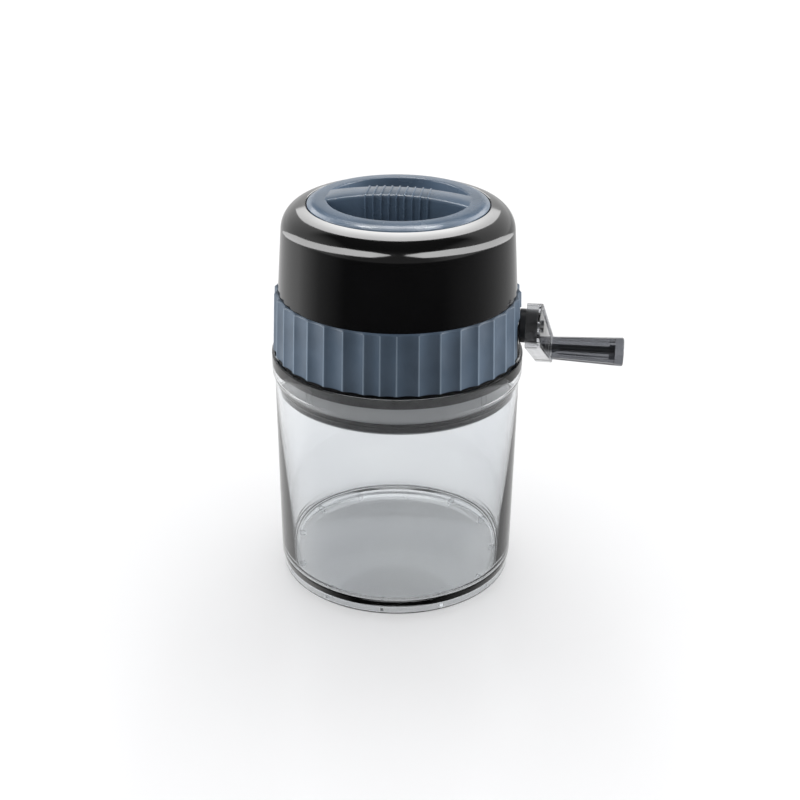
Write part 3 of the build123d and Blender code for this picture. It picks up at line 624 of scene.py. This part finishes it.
def makeSleeve(s, crank):
    high = crank["armLow"] + crank["armThick"] - crank["cover"] - crank["slope"] * crank["hubRadius"]
    bm = spun([
        (s["screwRadius"], s["low"]), (s["neckRadius"], s["low"], 0.3), (s["neckRadius"], s["step"]),
        (s["radius"], s["step"], 0.4), (s["radius"], high, 0.5), (s["screwRadius"], high),
    ], 96)
    bm.transform(alongX(0, crank["height"]))
    finishPiece(bm, "hubCore", satinBlack, "crank", ["drive_sleeve"], 35)


makeSleeve(sleeveSize, crankSize)
print("crank made")


handleSize = {"lowRadius": 6.6, "highRadius": 8.3, "length": 41.0, "cap": 5.0, "flutes": 12, "depth": 0.4,
              "smooth": 2.2, "ringPitch": 0.9, "bore": 2.55, "headBore": 4.8, "seatGap": 0.2, "capGap": 0.02,
              "stepsPerFlute": 10}


def makeHandle(s, crank):
    drop = radians(crank["drop"])
    y, z = crank["length"] * cos(drop), crank["height"] - crank["length"] * sin(drop)
    seat = crank["armLow"] + crank["armThick"] + crank["slope"] * crank["length"] - crank["handleSeat"]
    low = seat + s["seatGap"]
    high = low + s["length"]
    capLow = high - s["cap"]
    grow = (s["highRadius"] - s["lowRadius"]) / s["length"]
    capRadius = s["highRadius"] - grow * s["cap"]
    boreEnd = capLow - 3.2
    rings = [low + s["smooth"] + s["ringPitch"] * k for k in range(38)]
    rings = [x for x in rings if x < capLow - 0.5]
    outline = [(s["bore"], low), (s["lowRadius"], low, 0.8)]
    outline += [(s["lowRadius"] + grow * (x - low), x) for x in rings]
    outline += [
        (capRadius, capLow - s["capGap"], 0.2), (s["headBore"], capLow - s["capGap"]),
        (s["headBore"], boreEnd), (s["bore"], boreEnd)]
    bm = spun(outline, s["flutes"] * s["stepsPerFlute"])
    pitch = 2 * pi / s["flutes"]
    for v in bm.verts:
        radius = v.co.xy.length
        if radius < s["lowRadius"] - 0.9 or radius < 5.2:
            continue
        part = ((atan2(v.co.y, v.co.x) + 1e-6) % pitch) / pitch
        across = min(1.0, abs(2 * part - 1) * 1.06)
        fade = min(1.0, max(0.0, (v.co.z - low - s["smooth"]) / 2.5))  # the flutes run out before the arm
        sink = s["depth"] * (1 - across * across) * fade
        v.co.x *= (radius - sink) / radius
        v.co.y *= (radius - sink) / radius
    bm.transform(alongX(y, z))
    piece = finishPiece(bm, "handleGrip", smokePlastic, "handle", ["handle_grip"], 40)
    piece.visible_shadow = False
    cap = spun([
        (0, capLow + s["capGap"]), (capRadius, capLow + s["capGap"], 0.25), (s["highRadius"], high, 1.1),
        (0, high),
    ], 96, 6)
    cap.transform(alongX(y, z))
    finishPiece(cap, "handleCap", smokePlastic, "handle", ["handle_cap"], 40)


makeHandle(handleSize, crankSize)
print("handle made")


keptFinishes = {
    "lower_housing": collarBlack, "grinder_housing": satinBlack, "hopper": satinBlack,
    "stator_comb_front": bladeSteel, "stator_comb_rear": bladeSteel, "stator_rivets": screwSteel,
    "left_bush": bushAcetal, "right_bush": bushAcetal, "crank_bearing": bushAcetal,
    "housing_screws": screwSteel, "grinder_screws": screwSteel, "crank_shaft": bladeSteel,
    "circlip": screwSteel, "blade_spacers": bladeSteel, "crank_screw": screwSteel,
    "handle_screw": screwSteel, "rotor_blade_1": bladeSteel, "rotor_blade_2": bladeSteel,
    "rotor_blade_3": bladeSteel, "rotor_blade_4": bladeSteel, "rotor_blade_5": bladeSteel,
}
for name, finish in keptFinishes.items():
    node = frame["nodes"][name]
    for index in range(len(node.material_slots)):
        node.material_slots[index].material = finish
print("kept nodes finished")


cameraSize = {"azimuth": 7.3, "elevation": 25.97, "distance": 0.7513, "height": 0.09959,
              "aside": 0.00173, "lens": 59.8, "roll": 0.48}
stageSize = {"radius": 6.0, "roughness": 0.22, "tone": "#f7f7f8", "mirror": 0.03}
bm = bmesh.new()
bmesh.ops.create_circle(bm, cap_ends=True, radius=stageSize["radius"], segments=96)
mesh = bpy.data.meshes.new("floor")
bm.to_mesh(mesh)
bm.free()
floor = bpy.data.objects.new("floor", mesh)
scene.collection.objects.link(floor)
sheet, tree, where = startMaterial("whiteGlossSheet")
closeMaterial(tree, {"Base Color": linear(stageSize["tone"]), "Roughness": stageSize["roughness"],
                     "Metallic": stageSize["mirror"]})
mesh.materials.append(sheet)
floor.visible_glossy = False  # gloss in front stays deep: the room below the horizon says what it mirrors


def aimed(holder, at, towards):
    holder.location = at
    holder.rotation_euler = (Vector(towards) - Vector(at)).to_track_quat("-Z", "Y").to_euler()
    scene.collection.objects.link(holder)


# softboxes: angle from the camera's side, distance, height, size, and light sent out per area
softboxes = {
    "left": {"turn": -88, "away": 2.2, "height": 0.9, "size": (1.6, 1.8), "glow": 9.0, "for": "matt"},
    "right": {"turn": 88, "away": 2.2, "height": 0.9, "size": (1.6, 1.8), "glow": 9.0, "for": "matt"},
    "sheenBack": {"turn": 180, "away": 1.8, "height": 1.75, "size": (4.2, 1.5), "glow": 3.4, "for": "satin"},
    "sheenTop": {"turn": 180, "away": 0.5, "height": 1.7, "size": (1.3, 0.7), "glow": 38.0, "for": "satin"},
}
lit = {use: bpy.data.collections.new(use) for use in ("matt", "polished", "satin", "sheet")}
lit["polished"].objects.link(bpy.data.objects["domeShell"])
lit["satin"].objects.link(bpy.data.objects["lidCap"])
lit["sheet"].objects.link(floor)
for thing in bpy.data.objects:
    if thing.type == "MESH" and thing.name not in ("domeShell", "floor") and thing.visible_shadow:
        lit["matt"].objects.link(thing)
for name, box in softboxes.items():
    lamp = bpy.data.lights.new(name, "AREA")
    lamp.shape = "RECTANGLE"
    lamp.size, lamp.size_y = box["size"]
    lamp.energy = box["glow"] * pi * lamp.size * lamp.size_y
    holder = bpy.data.objects.new(name, lamp)
    angle = radians(box["turn"] + cameraSize["azimuth"])
    aimed(holder, (box["away"] * sin(angle), -box["away"] * cos(angle), box["height"]), (0, 0, 0.2))
    holder.light_linking.receiver_collection = lit[box["for"]]
    holder.visible_camera = False
    if box["for"] == "satin":
        holder.visible_diffuse = False
        holder.visible_transmission = False

# glowing ribbons, bent so that the polished shoulder mirrors them to the camera as even bands
ribbons = {  # turn round the shoulder, lowest and highest lean that mirrors the ribbon, glow there
    "upperBand": {"sides": (1,), "stations": (
        (-80, 66, 88, 3.0), (-60, 60, 89, 4.6), (-30, 59, 89.5, 8.5), (0, 58, 89.5, 10.0),
        (30, 59, 89.5, 8.8), (60, 60, 89, 4.6), (80, 66, 88, 3.0))},
    "lowerBand": {"sides": (-1, 1), "stations": (
        (3.5, 25.5, 27.5, 8.0), (12, 20, 31, 10.0), (25, 19, 32, 9.5), (42, 16, 29, 8.0), (58, 12, 26, 5.0),
        (68, 9, 20, 2.8), (75, 9, 13, 1.6))},
}
ribbonSize = {"reach": 0.5, "steps": 6, "shoulderSet": 3.0}


def shoulderPoint(turn, lean, s, inset):  # a place on the dome's shoulder and the way it faces
    out, up = radians(turn + cameraSize["azimuth"]), radians(lean)
    normal = Vector((sin(out) * cos(up), -cos(out) * cos(up), sin(up)))
    middle = s["radius"] - inset - s["shoulder"]
    around = Vector((sin(out), -cos(out), 0)) * middle + Vector((0, 0, s["height"] - s["shoulder"]))
    return (around + normal * s["shoulder"]) * mm, normal


def makeRibbon(name, side, stations, s, camera):
    bm = bmesh.new()
    glowLayer = bm.verts.layers.float.new("glow")
    lines = []
    for first, last in zip(stations, stations[1:]):
        for k in range(s["steps"] + (last is stations[-1])):
            turn, low, high, glow = (a + (b - a) * k / s["steps"] for a, b in zip(first, last))
            line = []
            for part in range(s["steps"] + 1):
                lean = low + (high - low) * part / s["steps"]
                spot, normal = shoulderPoint(side * turn, lean, shellSize, s["shoulderSet"])
                look = (camera - spot).normalized()
                line.append(bm.verts.new(spot + (2 * normal.dot(look) * normal - look) * s["reach"]))
                line[-1][glowLayer] = glow
            lines.append(line)
    for before, after in zip(lines, lines[1:]):
        for k in range(s["steps"]):
            bm.faces.new((before[k], before[k + 1], after[k + 1], after[k]))
    mesh = bpy.data.meshes.new(name)
    bm.to_mesh(mesh)
    bm.free()
    material, tree, where = startMaterial(name)
    level = addNode(tree, "ShaderNodeAttribute", attribute_name="glow").outputs["Fac"]
    glowing = addNode(tree, "ShaderNodeEmission", {"Color": (1.0, 1.0, 1.0, 1.0), "Strength": level})
    addNode(tree, "ShaderNodeOutputMaterial", {"Surface": glowing.outputs[0]})
    mesh.materials.append(material)
    ribbon = bpy.data.objects.new(name, mesh)
    scene.collection.objects.link(ribbon)
    ribbon.visible_camera = ribbon.visible_diffuse = False
    ribbon.visible_transmission = ribbon.visible_shadow = False
    ribbon.light_linking.receiver_collection = lit["polished"]

for name, energy in (("ceiling", 0.85), ("sheetWash", 1.58)):  # wide soft light from above
    sun = bpy.data.lights.new(name, "SUN")
    sun.energy = energy
    sun.angle = radians(100)
    holder = bpy.data.objects.new(name, sun)
    holder.visible_glossy = False
    aimed(holder, (0, 0, 3), (0, 0, 0))
holder.light_linking.receiver_collection = lit["sheet"]

# the room: a bright wall behind and dark space in front, by the direction looked in
world = bpy.data.worlds.new("studio")
scene.world = world
world.use_nodes = True
tree = world.node_tree
tree.nodes.clear()
direction = addNode(tree, "ShaderNodeTexCoord").outputs["Generated"]
look = addNode(tree, "ShaderNodeSeparateXYZ", {"Vector": direction})
ahead = addNode(tree, "ShaderNodeMath", {0: look.outputs["Y"], 1: -1.0}, operation="MULTIPLY")
rise = addNode(tree, "ShaderNodeMath", {0: look.outputs["Z"], 1: ahead.outputs[0]}, operation="ARCTAN2")
share = addNode(tree, "ShaderNodeMath", {0: rise.outputs[0], 1: pi}, operation="DIVIDE")


def toneRamp(tree, factor, tones):  # greys along a factor from 0 to 1
    ramp = addNode(tree, "ShaderNodeValToRGB", {"Fac": factor})
    while len(ramp.color_ramp.elements) < len(tones):
        ramp.color_ramp.elements.new(0.5)
    for element, (place, tone) in zip(ramp.color_ramp.elements, tones):
        element.position = place
        element.color = (tone, tone, tone, 1.0)
    return ramp.outputs["Color"]


# from the front horizon up over the top to the back horizon
above = toneRamp(tree, share.outputs[0], [
    (0.0, 0.28), (0.16, 0.22), (0.28, 0.05), (0.58, 0.08), (0.66, 0.85), (1.0, 1.0)])
# round the horizon below it: back, left, front, right and back again
roundabout = addNode(tree, "ShaderNodeMath", {0: look.outputs["X"], 1: ahead.outputs[0]}, operation="ARCTAN2")
turned = addNode(tree, "ShaderNodeMapRange", {
    "Value": roundabout.outputs[0], "From Min": -pi, "From Max": pi})
beneath = toneRamp(tree, turned.outputs["Result"], [
    (0.0, 0.8), (0.14, 0.85), (0.22, 1.0), (0.30, 0.3), (0.38, 0.03), (0.64, 0.03), (0.74, 0.2),
    (0.84, 0.5), (1.0, 0.8)])
aside = addNode(tree, "ShaderNodeMath", {0: look.outputs["X"]}, operation="ABSOLUTE").outputs[0]
seen = blendColours(tree, spread(tree, aside, 0, 1, 0.6, 0.9), above, (0.8, 0.8, 0.8, 1.0))
low = addNode(tree, "ShaderNodeMath", {0: look.outputs["Z"], 1: 0.0}, operation="LESS_THAN").outputs[0]
seen = blendColours(tree, low, seen, beneath)
sky = addNode(tree, "ShaderNodeBackground", {"Color": seen, "Strength": 1.0})
addNode(tree, "ShaderNodeOutputWorld", {"Surface": sky.outputs[0]})


def makeCamera(s):
    turn, rise = radians(s["azimuth"]), radians(s["elevation"])
    right = Vector((cos(turn), sin(turn), 0))
    back = Vector((sin(turn) * cos(rise), -cos(turn) * cos(rise), sin(rise)))
    data = bpy.data.cameras.new("camera")
    data.lens = s["lens"]
    data.sensor_width = 36
    camera = bpy.data.objects.new("camera", data)
    camera.location = Vector((0, 0, s["height"])) + right * s["aside"] + back * s["distance"]
    aim = (-back).to_track_quat("-Z", "Y").to_matrix().to_4x4()
    camera.rotation_euler = (aim @ Matrix.Rotation(radians(s["roll"]), 4, "Z")).to_euler()
    scene.collection.objects.link(camera)
    scene.camera = camera


makeCamera(cameraSize)
for name, band in ribbons.items():
    for side in band["sides"]:
        makeRibbon(f"{name}{side}", side, band["stations"], ribbonSize, scene.camera.location)
print("stage, light and camera set")
